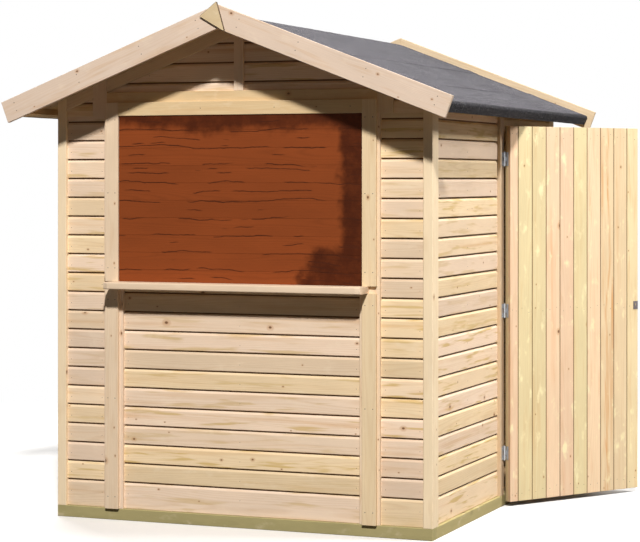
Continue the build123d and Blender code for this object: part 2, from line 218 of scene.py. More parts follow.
def woodFields(tree, finish):
    # each board carries its own grain place (along, across, deep) in metres and three tone numbers
    along, across, deep = split(attribute(tree, "grain"))
    light, hue, figure = split(attribute(tree, "tone"))
    # joint holds painted shade in joints and edges, whether a point is on the wide face, and its share across
    joint, wideFace, share = split(attribute(tree, "joint"))
    place = {key: packed(along * a, across * b, deep * c) for key, (a, b, c) in grainRates.items()}
    # knots: nearest seed on the face, kept for a share of the cells, each with its own radius
    reach, (seedA, seedB, _) = cells(packed(along * knots["stretch"], across), finish["knotsPerMetre"], "2D")
    present = seedA.calc("LESS_THAN", finish["knotShare"]) * wideFace
    radius = seedB ** 3.0 * knots["spread"] + knots["least"]
    away = reach / finish["knotsPerMetre"] / radius
    core = ramped(away, *knots["core"]) * present
    halo = ramped(away, *knots["halo"]) * present
    # growth rings: distance from the pith, wandering along the board and pushed aside by knots
    wander = noiseAt(place["slow"]) - 0.5
    pith = (across * across + deep * deep).calc("SQRT") + wander * growth["wander"] + halo * knots["push"]
    wave = (pith * (2 * math.pi / finish["ringPitch"])).calc("SINE")
    lateWood = (wave * 0.5 + 0.5) ** growth["sharpness"]
    # orange heart along the middle of the boldest boards
    middle = noiseAt(packed(along * heart["alongRate"], deep * heart["deepRate"]))
    ragged = noiseAt(place["streak"], 5.0, 3.0, 0.6) * heart["ragged"] + lateWood * heart["ringed"]
    offCentre = abs(share - middle) + ragged
    bold = ramped(figure, *heart["figures"]) * wideFace
    # broad streaks and fine fibre, brown smears from the planer, and pale patches on the face
    return dict(
        light=light, hue=hue, figure=figure, joint=joint, core=core, halo=halo, rings=lateWood,
        heart=ramped(offCentre, *heart["edge"]) * bold,
        streak=ramped(noiseAt(place["streak"], 1.0, 3.0, 0.55), 0.5, 0.78),
        fibre=noiseAt(place["fibre"]),
        blotch=noiseAt(place["blotch"], 1.0, 3.0),
        smear=ramped(noiseAt(place["smear"], 1.0, 2.0, 0.55), 0.54, 0.68),
        polish=ramped(noiseAt(place["polish"], 1.0, 3.0, 0.6), 0.56, 0.76))


def spruce(tree, finish):
    wood = woodFields(tree, finish)
    # pale early wood, amber streaks by each board's figure, a pink or yellow cast by its hue
    colour = mixed(wood["streak"] * (wood["figure"] * finish["streak"]), finish["pale"], finish["amber"])
    colour = mixed(wood["heart"] * finish["heart"], colour, finish["amber"])
    colour = mixed(wood["smear"] * (wood["light"] * finish["smear"]), colour, finish["burnt"])
    cast = mixed(ramped(wood["hue"], 0.25, 0.75), finish["pinkCast"], finish["yellowCast"])
    colour = mixed(1.0, colour, cast, "MULTIPLY")
    colour = mixed(wood["rings"] * finish["ringDepth"], colour, finish["late"])
    level = around(wood["light"], finish["toneSpread"]) * around(wood["fibre"], finish["fibreDepth"])
    colour = shaded(colour, level * around(wood["blotch"], finish["blotchDepth"]))
    # then pale patches, knots and painted shade in the joints, each over what is there
    for field, share, tint in (("polish", "polish", "polished"), ("halo", "haloShare", "knotHalo"),
                               ("core", "coreShare", "knot"), ("joint", "dirt", "jointDirt")):
        colour = mixed(wood[field] * finish[share], colour, finish[tint])
    rough = wood["fibre"] * 0.18 + finish["rough"] + wood["core"] * -0.15
    height = wood["fibre"] * 0.6 + wood["rings"] + wood["core"] * 0.8
    return {"Base Color": colour, "Roughness": rough, "Specular IOR Level": 0.15,
            "Normal": bump(height, finish["bump"], 0.0007)}


baseFinish = dict(pale=linear(240, 217, 192), amber=linear(210, 164, 108), late=linear(206, 166, 120),
                  burnt=linear(206, 164, 112), polished=linear(250, 232, 205), polish=0.25,
                  pinkCast=(0.985, 0.965, 0.97), yellowCast=(0.985, 0.962, 0.815),
                  knot=linear(96, 60, 34), knotHalo=linear(190, 138, 88), knotsPerMetre=8.0, knotShare=0.34,
                  coreShare=0.85, haloShare=0.5, jointDirt=linear(112, 72, 30), dirt=0.95,
                  ringPitch=0.0042, ringDepth=0.2, fibreDepth=0.16, blotchDepth=0.2, toneSpread=0.2,
                  streak=0.7, smear=0.5, heart=0.8, rough=0.55, bump=0.25)
trimFinish = dict(baseFinish, streak=0.35, toneSpread=0.06, ringDepth=0.15, knotShare=0.36, knotsPerMetre=9.0)
finishes = {
    "wall_boards": dict(baseFinish, burnt=linear(204, 174, 112), smear=0.85),
    "planed_trim": dict(trimFinish, pale=linear(238, 216, 191), smear=0.35, toneSpread=0.07),
    # painted shade: the front barge boards get a darker copy of the trim, as they catch more light than the
    # walls
    "barge_trim_shaded": dict(trimFinish, pale=linear(226, 206, 188), streak=0.45, toneSpread=0.05),
    "post_trim": dict(trimFinish, pale=linear(250, 230, 204), smear=0.3),
    "head_trim": dict(baseFinish, pale=linear(225, 200, 164), streak=0.4, smear=0.4, toneSpread=0.06,
                      ringDepth=0.18),
    # painted shade: a darker copy of the trim for the door post, which both lamps light
    "door_jamb_shaded": dict(baseFinish, pale=linear(200, 178, 150), toneSpread=0.06, streak=0.4),
    "door_spruce": dict(baseFinish, pale=linear(229, 209, 181), amber=linear(206, 146, 90),
                        burnt=linear(206, 154, 102), polished=linear(248, 236, 190), polish=0.8,
                        pinkCast=(1.04, 0.925, 0.88), yellowCast=(0.95, 0.985, 0.8), streak=0.95, smear=0.25,
                        toneSpread=0.18, jointDirt=linear(92, 60, 30), dirt=1.0),
    "frame_timber": dict(baseFinish, pale=linear(222, 196, 158), rough=0.62, bump=0.4),
    "floor_boards": dict(baseFinish, pale=linear(222, 194, 152)),
    "treated_base": dict(baseFinish, pale=linear(186, 170, 128), amber=linear(150, 136, 92),
                         late=linear(146, 128, 88), burnt=linear(112, 98, 66), smear=0.6,
                         pinkCast=(1, 0.97, 0.93), yellowCast=(0.95, 1, 0.88), knot=linear(86, 66, 40),
                         knotHalo=linear(140, 116, 76), rough=0.66, bump=0.5),
    "plaque_wood": dict(baseFinish, pale=linear(218, 198, 160), amber=linear(180, 146, 92), knotShare=0.0,
                        smear=0.1, toneSpread=0.02),
}
planedTones = ("barge_trim_shaded", "post_trim", "head_trim", "door_jamb_shaded")  # woods for which joinery passes the planed trim's slot name to settle

# places in metres: where the painted shade and thicker coat lie, and the strokes' spacing, first height and
# gaps
hatchFinish = dict(
    baseFinish, thin=linear(133, 65, 29), thickCoat=linear(68, 26, 5), stroke=linear(66, 28, 11),
    jointDirt=linear(112, 52, 22), dirt=0.15, knotShare=0.0, toneSpread=0.1, blotchDepth=0.3, coatLeast=0.8,
    rightEdge=(0.52, 0.565), topEdge=(1.955, 2.02), topShare=0.95, ragged=0.2, cornerX=(0.34, 0.41),
    cornerZ=1.36, cornerSoft=0.05, cornerRagged=0.3, cornerLean=0.45, brush=0.9,
    brushWidth=(0.0034, 0.0012), swing=0.028, drift=0.075,
    strokes=((0.0875, 1.274, 0.45, 0.5), (0.0875, 1.318, 0.55, 0.59), (0.1210, 1.293, 0.58, 0.62)))


def hatchStain(tree, finish):
    wood = woodFields(tree, finish)
    place = objectPlace(tree)
    x, _, z = split(place)
    # painted shade over uneven coats: the right and top edges and the lower right corner are painted darker
    # as shade, where the stain also lies thicker
    edge = noiseAt(place, 5.0, 4.0, 0.6) - 0.5
    ragged = edge * finish["ragged"]
    right = ramped(x + ragged, *finish["rightEdge"])
    top = ramped(z + ragged, *finish["topEdge"])
    lean = (z - finish["cornerZ"]) * -finish["cornerLean"]
    cornerX = ramped(edge * finish["cornerRagged"] + x + lean, *finish["cornerX"])
    cornerZ = ramped(z + ragged, finish["cornerZ"] + finish["cornerSoft"], finish["cornerZ"])
    # thick is the mask of painted shade together with the thicker coat
    thick = right.calc("MAXIMUM", top * finish["topShare"]).calc("MAXIMUM", cornerX * cornerZ)
    patchy = ramped(noiseAt(place, 11.0, 4.0, 0.65), 0.34, 0.62, finish["coatLeast"], 1.0)
    colour = mixed(thick * patchy, finish["thin"], finish["thickCoat"])
    # thin dark strokes wander along each joint and, more broken, along the middle of each board
    swing = noiseAt(packed(x * 9.0, z * 14.0), 1.0, 3.0) - 0.5
    drift = noiseAt(packed(x * 2.0, z * 2.4), 1.0, 1.0) - 0.5
    strokeZ = swing * finish["swing"] + z + drift * finish["drift"]
    for spacing, start, gapLow, gapHigh in finish["strokes"]:
        turns = (strokeZ - start) / spacing
        row = turns.calc("ROUND")
        near = abs(turns - row) * spacing
        gaps = noiseAt(packed(x * 3.4, row * 5.37))
        stroke = ramped(near, *finish["brushWidth"]) * ramped(gaps, gapLow, gapHigh)
        colour = mixed(stroke * finish["brush"], colour, finish["stroke"])
    level = around(wood["light"], finish["toneSpread"]) * around(wood["blotch"], finish["blotchDepth"])
    colour = shaded(colour, level * (wood["rings"] * -0.1 + 1.03))
    colour = mixed(wood["joint"] * finish["dirt"], colour, finish["jointDirt"])
    return {"Base Color": colour, "Roughness": wood["fibre"] * 0.2 + 0.55, "Specular IOR Level": 0.12,
            "Normal": bump(wood["rings"] + wood["fibre"], 0.15, 0.0006)}


grit = dict(dark=linear(63, 63, 70), mid=linear(93, 91, 97), pale=linear(168, 162, 162),
            foldShadeTone=linear(18, 18, 21), perMetre=520, streakDepth=1.2, fadeDepth=0.7)


def mineralFelt(tree):
    # mineral granules in three greys over bitumen, drawn out in soft streaks along the sheet
    place = objectPlace(tree)
    x, y, z = split(place)
    reach, (seedA, seedB, seedC) = cells(place, grit["perMetre"])
    colour = mixed(ramped(seedA, 0.1, 0.9), grit["dark"], grit["mid"])
    colour = mixed(ramped(seedB, 0.86, 0.98), colour, grit["pale"])
    streak = noiseAt(packed(x * 62.0, y * 3.2, z * 62.0), 1.0, 4.0, 0.65)
    fade = noiseAt(place, 2.2, 5.0, 0.6)
    colour = shaded(colour, around(streak, grit["streakDepth"]) * around(fade, grit["fadeDepth"]))
    # painted shade on the fold: near-black tone over the bent edge, then pale scuff flecks
    worn = attribute(tree, "worn", "Fac")
    colour = mixed(worn * ramped(seedC, 0.15, 0.5), colour, grit["foldShadeTone"])
    fleck = ramped(noiseAt(place, 85.0, 3.0, 0.7), 0.55, 0.66)
    colour = mixed(worn * 0.2 * fleck, colour, grit["pale"])
    return {"Base Color": colour, "Roughness": 0.94, "Specular IOR Level": 0.12,
            "Normal": bump(reach, 0.4, 0.0012)}


# dull tone, bright tone, grime and roughness
steels = {
    "zinc_steel": ((0.42, 0.44, 0.47), (0.58, 0.59, 0.61), (0.24, 0.23, 0.22), 0.32),
    "dull_steel": ((0.13, 0.105, 0.085), (0.19, 0.165, 0.14), (0.1, 0.06, 0.035), 0.5),
    "lock_steel": ((0.16, 0.14, 0.145), (0.26, 0.23, 0.235), (0.07, 0.06, 0.06), 0.38),
}


def platedSteel(tree, dull, bright, grimeTone, rough):
    # soft spangle in tone and gloss, dull grime in patches
    place = objectPlace(tree)
    _, (seedA, seedB, _) = cells(place, 260.0)
    grime = ramped(noiseAt(place, 34.0, 4.0, 0.6), 0.45, 0.75)
    colour = mixed(grime * 0.5, mixed(seedA, dull, bright), grimeTone)
    return {"Base Color": colour, "Metallic": 1.0, "Roughness": seedB * 0.12 + rough + grime * 0.25,
            "Normal": bump(noiseAt(place, 900.0), 0.08, 0.0003)}


def darkEdge(tree):
    # dark edge of the plaque, cloudy in tone
    cloud = noiseAt(objectPlace(tree), 160.0, 3.0)
    return {"Base Color": mixed(cloud, linear(92, 68, 40), linear(58, 40, 24)), "Roughness": 0.7,
            "Normal": bump(cloud, 0.3, 0.0005)}


woods = {name: finished(name, spruce, finish) for name, finish in finishes.items()}
woods["red_brown_stain"] = finished("red_brown_stain", hatchStain, hatchFinish)
feltFinish = finished("roof_felt", mineralFelt)
metals = {name: finished(name, platedSteel, *finish) for name, finish in steels.items()}
plaqueEdge = finished("plaque_edge", darkEdge)
print("materials made:", len(bpy.data.materials))

# radius of the planed edges of each kind of timber
edges = dict(plain=0.0015, trim=0.002, post=0.0025, base=0.003, fine=0.0012, strip=0.0008)


def roundedOutline(corners, radius, perCorner=3):
    # each corner of a convex outline becomes an arc that touches both its edges
    corners = np.asarray(corners, float)
    toLast = np.roll(corners, 1, 0) - corners
    toNext = np.roll(corners, -1, 0) - corners
    toLast /= np.linalg.norm(toLast, axis=1, keepdims=True)
    toNext /= np.linalg.norm(toNext, axis=1, keepdims=True)
    half = np.arccos(np.clip((toLast * toNext).sum(1), -1, 1)) / 2
    middle = toLast + toNext
    middle /= np.linalg.norm(middle, axis=1, keepdims=True)
    centre = corners + middle * (radius / np.sin(half))[:, None]
    sweep = np.linspace(-1, 1, perCorner) * (math.pi / 2 - half)[:, None]
    out = -middle[:, None, :]
    turned = np.stack([out[..., 1], -out[..., 0]], -1)
    arc = out * np.cos(sweep)[..., None] - turned * np.sin(sweep)[..., None]
    return (centre[:, None, :] + radius * arc).reshape(-1, 2)


def planedSection(width, thick, radius=edges["plain"], perCorner=3):
    return roundedOutline([(0, 0), (width, 0), (width, thick), (0, thick)], radius, perCorner)


def outwardOf(section):
    # square to the line between a point's two neighbours
    chord = np.roll(section, -1, 0) - np.roll(section, 1, 0)
    normal = np.stack([chord[:, 1], -chord[:, 0]], 1)
    return normal / (np.linalg.norm(normal, axis=1, keepdims=True) + 1e-9)


def makeBoard(section, origin, along, across, start, end, **extra):
    board = dict(section=np.asarray(section, float), origin=np.asarray(origin, float), along=along,
                 across=across, start=start, end=end, rings=4, arris=0.0008, bow=0.0, taper=None, tone=None)
    board.update(extra)
    return board


def boardPoints(board):
    # point = origin + along * s + across * w + thick * t, where (w, t) is the section, s goes from the
    # start cut to the end cut, the ends are drawn in by the arris and the middle is bowed by a half sine
    section = board["section"][:, :2]
    start = np.broadcast_to(board["start"], len(section))
    end = np.broadcast_to(board["end"], len(section))
    edge = board["arris"] / np.max(end - start)
    share = np.concatenate([[0], np.linspace(edge, 1 - edge, board["rings"]), [1]])
    drawn = np.zeros(len(share))
    drawn[[0, -1]] = board["arris"]
    normal = outwardOf(section)
    s = start + (end - start) * share[:, None]
    w = section[:, 0] - normal[:, 0] * drawn[:, None]
    t = section[:, 1] - normal[:, 1] * drawn[:, None] + board["bow"] * np.sin(np.pi * share)[:, None]
    if board["taper"] is not None:
        w = w * board["taper"](s)
    thick = np.cross(board["along"], board["across"])
    points = board["origin"] + s[..., None] * board["along"] + w[..., None] * board["across"]
    return points + t[..., None] * thick, np.stack([s, w, t], -1)


def addMesh(name, grids, material, **fields):
    # each grid is a stack of closed rings: quads round it and a flat cap on each end; fields go by point
    faces = []
    total = 0
    for grid in grids:
        index = total + np.arange(grid.shape[0] * grid.shape[1]).reshape(grid.shape[:2])
        total += index.size
        beside = np.roll(index, -1, axis=1)
        quads = np.stack([index[:-1], beside[:-1], beside[1:], index[1:]], -1).reshape(-1, 4)
        faces += quads.tolist() + [index[0, ::-1].tolist(), index[-1].tolist()]
    mesh = bpy.data.meshes.new(name)
    mesh.from_pydata(np.concatenate([grid.reshape(-1, 3) for grid in grids]).tolist(), [], faces)
    for key, parts in fields.items():
        values = [np.broadcast_to(part, grid.shape).reshape(-1, 3) for part, grid in zip(parts, grids)]
        layer = mesh.attributes.new(key, "FLOAT_VECTOR", "POINT")
        layer.data.foreach_set("vector", np.concatenate(values).astype(np.float32).ravel())
    mesh.materials.append(material)
    mesh.shade_smooth()
    mesh.set_sharp_from_angle(angle=math.radians(14))
    piece = bpy.data.objects.new(name, mesh)
    bpy.context.scene.collection.objects.link(piece)
    return piece


# where a board lay in its tree: metres along, board widths across, metres from the pith, and the slant
sawn = dict(along=(0, 40), across=(-1.2, 0.3), deep=(0.012, 0.13), slant=(-0.014, 0.014), wideFace=0.85)


def boardMesh(name, boards, material):
    # every board keeps its grain place: its own spot in the tree, and a slant that draws out the figure
    places, grains, tones, joints = [], [], [], []
    for board in boards:
        place, grain = boardPoints(board)
        section = board["section"]
        width, depth = np.ptp(section[:, :2], axis=0)
        wide = 0 if width >= depth else 1  # which number of the section runs across the wide face
        shift = np.array((rng.uniform(*sawn["along"]), rng.uniform(*sawn["across"]) * width,
                          rng.uniform(*sawn["deep"])))
        slant = rng.uniform(*sawn["slant"])
        if wide == 1:
            grain = grain[..., [0, 2, 1]]
        grain = grain + shift
        grain[..., 2] += slant * (grain[..., 0] - shift[0])
        tone = rng.uniform(0, 1, 3)  # light, hue and figure: drawn at random unless the board names them
        facing = np.abs(outwardOf(section[:, :2]))[:, 1 - wide]
        # the section's third number is painted shade in the joint
        dirt = section[:, 2] if section.shape[1] > 2 else np.zeros(len(section))
        share = (section[:, wide] - np.min(section[:, wide])) / np.ptp(section[:, wide])
        places.append(place)
        grains.append(grain)
        tones.append(tone if board["tone"] is None else board["tone"])
        joints.append(np.stack([dirt, facing > sawn["wideFace"], share], -1))
    return addMesh(name, places, material, grain=grains, tone=tones, joint=joints)


def settle(piece, body, slot, *nodes):
    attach(piece, body)
    if nodes:
        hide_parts(*nodes)
    return piece


def joinery(name, boards, wood, *nodes, body="house"):
    slot = "planed_trim" if wood in planedTones else wood
    return settle(boardMesh(name, boards, woods[wood]), body, slot, *nodes)


def boxBoard(low, high, axis, radius=edges["plain"], **extra):
    # straight member that fills a box, with its grain along one axis
    i = "xyz".index(axis)
    j, k = (i + 1) % 3, (i + 2) % 3
    size = np.asarray(high, float) - np.asarray(low, float)
    section = planedSection(size[j], size[k], radius)
    return makeBoard(section, low, axes[i], axes[j], 0.0, size[i], **extra)


def roofCutPost(low, high, radius=edges["plain"], **extra):
    # upright member whose top follows the underside of the roof
    post = boxBoard(low, high, "z", radius, **extra)
    post["end"] = roofUnder(low[0] + post["section"][:, 0]) - low[2]
    return post


def roofCutBeam(low, high):
    # member along y: its section is (z, x), and its height is cut to the roof above it
    beam = boxBoard(low, high, "y")
    section = beam["section"]
    section[:, 0] = np.minimum(section[:, 0], roofUnder(low[0] + section[:, 1]) - low[2])
    return beam


def outerPair(node, width):
    # the two boxes of one width at the left and right ends of a node's box
    low, high = nodeBox(node)
    return (low, np.array((low[0] + width, *high[1:]))), (np.array((high[0] - width, *low[1:])), high)


# wall boards, and the nails that hold them: height in a board, and distance from a wall's ends
lap = dict(pitch=0.0963, thick=0.018, firstZ=0.0993, recess=0.011, shelf=0.0068, groove=0.0074, bevel=0.0115,
           tongue=0.008, sway=0.0005, bow=0.0007, footPart=0.02, leastWidth=0.004, roofGap=0.0012,
           nailZ=0.034, nailIn=0.022, nailClear=0.01)
nailPlaces, nailNormals = [], []


def lapSection():
    # rounded lower lip, flat face, bevel back to a shelf, deep groove, tongue behind the next board's lip;
    # the third number says how much painted shade darkens the joint there, under the lip and in the groove
    face = lap["thick"]
    back = face - lap["recess"]
    shelf = face - lap["shelf"]
    bevelTop = lap["pitch"] - lap["groove"]
    bevelFoot = bevelTop - lap["bevel"]
    tip = lap["pitch"] + lap["tongue"]
    return np.array([
        (0.0012, back + 0.0015, 1), (0.0004, back + 0.004, 1), (0.0, face - 0.003, 0.35),
        (0.0009, face - 0.0009, 0.1), (0.003, face, 0), (bevelFoot, face, 0),
        (bevelFoot + 0.0025, face - 0.0009, 0), (bevelTop - 0.0015, shelf + 0.0008, 0),
        (bevelTop, shelf - 0.0006, 0.3), (bevelTop + 0.0006, back, 1), (tip, back - 0.0004, 1),
        (tip + 0.0006, back - 0.001, 1), (tip + 0.0006, 0.0006, 0.3), (tip, 0.0, 0),
        (0.0106, 0.0, 0), (0.01, 0.0006, 0.3), (0.01, back + 0.0008, 1)])


def lapWall(name, node, along, inner, span, zLow, zHigh, nailLines):
    # boards lie one above the other; top and bottom ones are cut to the wall's edges
    section = lapSection()
    low, high = span
    thick = np.cross(along, axisZ)
    wallTop = zHigh(section[:, 1])
    boards = []
    for number in range(int(math.ceil((np.max(wallTop) - lap["firstZ"]) / lap["pitch"]))):
        base = lap["firstZ"] + number * lap["pitch"]
        cut = section.copy()
        if number == 0:  # the lowest board is wider, down to the base
            cut[cut[:, 0] < lap["footPart"], 0] += min(zLow - base, 0)
        cut[:, 0] = np.clip(cut[:, 0], zLow - base, zHigh(cut[:, 1]) - base)
        if np.ptp(cut[:, 0]) < lap["leastWidth"]:
            continue
        # cutting can lay points on each other
        cut = cut[np.abs(np.roll(cut, -1, 0) - cut)[:, :2].max(1) > 1e-5]
        z = base + cut[:, 0]
        sway = rng.uniform(-1, 1) * lap["sway"]
        boards.append(makeBoard(cut, inner + axisZ * base + thick * sway, along, axisZ, low(z), high(z),
                                rings=5, bow=rng.uniform(-1, 1) * lap["bow"]))
        nailZ = base + lap["nailZ"]
        if not zLow + lap["nailClear"] < nailZ < np.min(wallTop) - lap["nailClear"]:
            continue
        for line in nailLines:
            if low(nailZ) < line < high(nailZ):
                nailPlaces.append(inner + along * line + thick * (lap["thick"] + sway) + axisZ * nailZ)
                nailNormals.append(thick)
    joinery(name, boards, "wall_boards", node)


def always(value):
    return lambda z: np.full(np.shape(z), value)


def gableLimit(side):
    # gable boards stop at the post or where the roof comes down
    return lambda z: side * np.minimum(postX, (roofUnder(0) - z) / slopeTan - lap["roofGap"])


def underRoof(inside):
    # side walls end under the roof, lower towards the outer face
    return lambda t: roofUnder(inside + t)


frontInner = nodeBox("front_gable")[1] * axisY
backInner = nodeBox("back_wall")[0] * axisY
leftInner = nodeBox("left_wall")[1] * axisX
rightInner = nodeBox("right_wall")[0] * axisX
postX = nodeBox("front_gable")[1][0]
stud = dict(size=0.045, sideY=0.33, rightY=-0.4775, backX=0.32)

for node, name, middleNails in (("front_wall_left", "front_boards_left", ()),
                                ("front_wall_right", "front_boards_right", ()),
                                ("front_wall_under_counter", "apron_boards", (0.0,))):
    low, high = nodeBox(node)
    lapWall(name, node, axisX, frontInner, (always(low[0]), always(high[0])), low[2], always(high[2]),
            (low[0] + lap["nailIn"], *middleNails, high[0] - lap["nailIn"]))

for node, name, along, inner, nailLines in (
        ("front_gable", "gable_boards", axisX, frontInner, (-0.9, -0.5, 0.5, 0.9)),
        ("back_wall", "back_boards", -axisX, backInner, (-0.945, -stud["backX"], stud["backX"], 0.945))):
    low, high = nodeBox(node)
    lapWall(name, node, along, inner, (gableLimit(-1), gableLimit(1)), low[2], always(high[2]), nailLines)

for node, name, along, inner, studNails in (
        ("left_wall", "left_boards", -axisY, leftInner, (-stud["sideY"], stud["sideY"])),
        ("right_wall", "right_boards", axisY, rightInner, (stud["rightY"],)),
        ("right_wall_over_door", "door_top_boards", axisY, rightInner, ())):
    low, high = nodeBox(node)
    first, last = sorted((along[1] * low[1], along[1] * high[1]))
    lapWall(name, node, along, inner, (always(first), always(last)), low[2], underRoof(abs(inner[0])),
            (first + lap["nailIn"], *studNails, last - lap["nailIn"]))
print("wall boards laid, nails so far:", len(nailPlaces))

# posts and trims; tones are light, hue and figure
trimTones = dict(corner=(0.5, 0.55, 0.3), jamb=(0.4, 0.4, 0.4), head=(0.5, 0.55, 0.5), left=(0.5, 0.45, 0.3),
                 right=(0.35, 0.72, 0.4), counter=(0.3, 0.4, 0.4), rake=(0.0, 0.5, 0.4))
for place in ("front_left", "back_left", "front_right", "back_right"):
    node = "corner_post_" + place
    post = roofCutPost(*nodeBox(node), edges["post"], tone=trimTones["corner"])
    joinery("post_" + place, [post], "post_trim", node)

post = roofCutPost(*nodeBox("door_post"), edges["post"], tone=trimTones["jamb"])
joinery("post_door", [post], "door_jamb_shaded", "door_post")

for node, axis in (("door_head", "y"), ("window_header", "x"), ("window_head_trim", "x")):
    board = boxBoard(*nodeBox(node), axis, edges["trim"], tone=trimTones["head"])
    joinery(node + "_board", [board], "head_trim", node)

windowPost = dict(width=0.105)
posts = [boxBoard(*box, "z", edges["post"]) for box in outerPair("window_posts", windowPost["width"])]
joinery("window_post_pair", posts, "planed_trim", "window_posts")

counterLow, counterHigh = nodeBox("counter")
for sideName in ("left", "right"):
    node = "window_trim_" + sideName
    low, high = nodeBox(node)
    boards = [boxBoard(*box, "z", edges["trim"], tone=trimTones[sideName])
              for box in ((low, (*high[:2], counterLow[2])), ((*low[:2], counterHigh[2]), high))]
    joinery("window_casing_" + sideName, boards, "planed_trim", node)

covers = dict(stripHalf=0.025, stripFoot=nodeBox("window_header")[1][2], blockWidth=0.08)
low, high = nodeBox("gable_cover_strips")
half = covers["stripHalf"]
strip = roofCutPost((-half, low[1], covers["stripFoot"]), (half, *high[1:]))
blocks = [roofCutPost(*box) for box in outerPair("gable_cover_strips", covers["blockWidth"])]
joinery("gable_covers", [strip] + blocks, "planed_trim", "gable_cover_strips")

for node, axis in (("base_front", "x"), ("base_back", "x"), ("base_left", "y"), ("base_right", "y")):
    joinery(node + "_beam", [boxBoard(*nodeBox(node), axis, edges["base"])], "treated_base", node)

joist = dict(half=0.03, count=3)
low, high = nodeBox("floor_joists")
half = joist["half"]
joists = [boxBoard((low[0], y - half, low[2]), (high[0], y + half, high[2]), "x", edges["trim"])
          for y in np.linspace(low[1] + half, high[1] - half, joist["count"])]
joinery("joists", joists, "floor_boards", "floor_joists")
print("posts, trims and base set")

counter = dict(depth=0.128, thick=0.035, corner=0.012, edge=0.006, backHalf=0.6415, rings=60)


def counterTaper(s):
    # plan of the counter's front corners: a quarter circle takes the front edge back
    length = counterHigh[0] - counterLow[0]
    inside = np.clip(np.minimum(s, length - s), 0, counter["corner"])
    back = counter["corner"] - np.sqrt(counter["corner"] ** 2 - (counter["corner"] - inside) ** 2)
    return 1 - back / counter["depth"]


section = np.clip(planedSection(counter["depth"], counter["thick"], counter["edge"], 9), 0, None)
section[section[:, 0] < counter["edge"], 0] *= 0.25  # nearly square where it meets the inner board
backY = counterLow[1] + counter["depth"]
counterFront = makeBoard(section, (counterHigh[0], backY, counterLow[2]), -axisX, -axisY, 0.0,
                         counterHigh[0] - counterLow[0], rings=counter["rings"], taper=counterTaper,
                         tone=trimTones["counter"])
half = counter["backHalf"]
counterBack = boxBoard((-half, backY, counterLow[2]), (half, *counterHigh[1:]), "x", edges["fine"])
joinery("counter_board", [counterFront, counterBack], "planed_trim", "counter")


tongueLength = 0.005


def tonguedSection(width, thick, groove, first, last, edgeShade):
    # face edges chamfered to a V that is painted dark as shade, a tongue on one edge and a groove for it on
    # the other
    mid = thick * 0.5
    slant = groove * 0.8
    tip = width + tongueLength
    right = [(width - 0.0002, 0, 0), (width - 0.0002, mid - 0.0028, 1), (tip, mid - 0.0025, 1),
             (tip, mid + 0.0025, 1), (width - 0.0004, mid + 0.0028, 1), (width - 0.0004, thick - groove, 1),
             (width - slant, thick - 0.0003, 0.15), (width - slant - 0.0008, thick, 0)]
    left = [(slant + 0.0008, thick, 0), (slant, thick - 0.0003, 0.15), (0.0004, thick - groove, 1),
            (0.0004, mid + 0.0033, 1), (0.0062, mid + 0.003, 1), (0.0062, mid - 0.003, 1),
            (0.0002, mid - 0.0033, 1), (0.0002, 0, 0)]
    if last:
        right = [(width, 0, 0), (width, thick - 0.001, 0), (width - 0.001, thick, 0)]
    if first:
        left = [(0.001, thick, 0), (0, thick - 0.001, edgeShade), (0, 0.0006, edgeShade), (0.0006, 0, 0)]
    return np.array(right + left)


def tonguedRow(total, thick, row, least=0.012):
    # each board's start and section in a row that fills a breadth, the last board cut to what is left
    cuts = np.concatenate([[0.0], np.arange(row["first"], total - least, row["pitch"]), [total]])
    final = len(cuts) - 2
    return [(cuts[n], tonguedSection(cuts[n + 1] - cuts[n], thick, row["groove"], n == 0, n == final,
                                     row.get("edgeShade", 0.0))) for n in range(final + 1)]


hatch = dict(pitch=0.0875, first=0.062, groove=0.0005, sway=0.0002)
low, high = nodeBox("hatch_panel")
boards = []
for offset, section in tonguedRow(high[2] - low[2], high[1] - low[1], hatch):
    origin = (0, high[1] - rng.uniform(0.1, 1) * hatch["sway"], low[2] + offset)
    boards.append(makeBoard(section, origin, axisX, axisZ, low[0], high[0], rings=6))
joinery("hatch_boards", boards, "red_brown_stain", "hatch_panel")

# floor: boards stop short of the window posts, and a strip closes each side
floor = dict(pitch=0.0965, first=0.0965, groove=0.0008, half=0.9665, postSpan=(0.6405, 0.7475),
             postBack=-1.034, stripGap=0.0005, stripOuter=0.0115, stripHalf=0.9885)
half = floor["half"]
low, high = nodeBox("floor_deck")
boards = []
for offset, section in tonguedRow(2 * half, high[2] - low[2], floor):
    xs = np.abs(half - offset - section[[0, -1], 0])
    meetsPost = xs.max() > floor["postSpan"][0] and xs.min() < floor["postSpan"][1]
    front = floor["postBack"] if meetsPost else low[1]
    boards.append(makeBoard(section, (half - offset, 0, low[2]), axisY, -axisX, front, high[1], rings=5))
for side in (-1, 1):
    xs = sorted(side * (half + floor[key]) for key in ("stripGap", "stripOuter"))
    boards.append(boxBoard((xs[0], -floor["stripHalf"], low[2]), (xs[1], floor["stripHalf"], high[2]), "y",
                           edges["strip"]))
joinery("floor_boarding", boards, "floor_boards", "floor_deck")

deck = dict(pitch=0.0974, first=0.0974, groove=0.0028)
for sideName, side, down, out in slopes:
    boards = []
    for offset, section in tonguedRow(2 * deckEnd, roof["deckThick"], deck):
        origin = (0, side * (deckEnd - offset), deckRidge)
        ridgeCut = section[:, 1] * slopeTan + roof["ridgeGap"]
        boards.append(makeBoard(section, origin, down, -side * axisY, ridgeCut, deckRun))
    joinery("roof_boards_" + sideName, boards, "frame_timber", "roof_deck_" + sideName)
print("hatch, floor and roof boards laid")

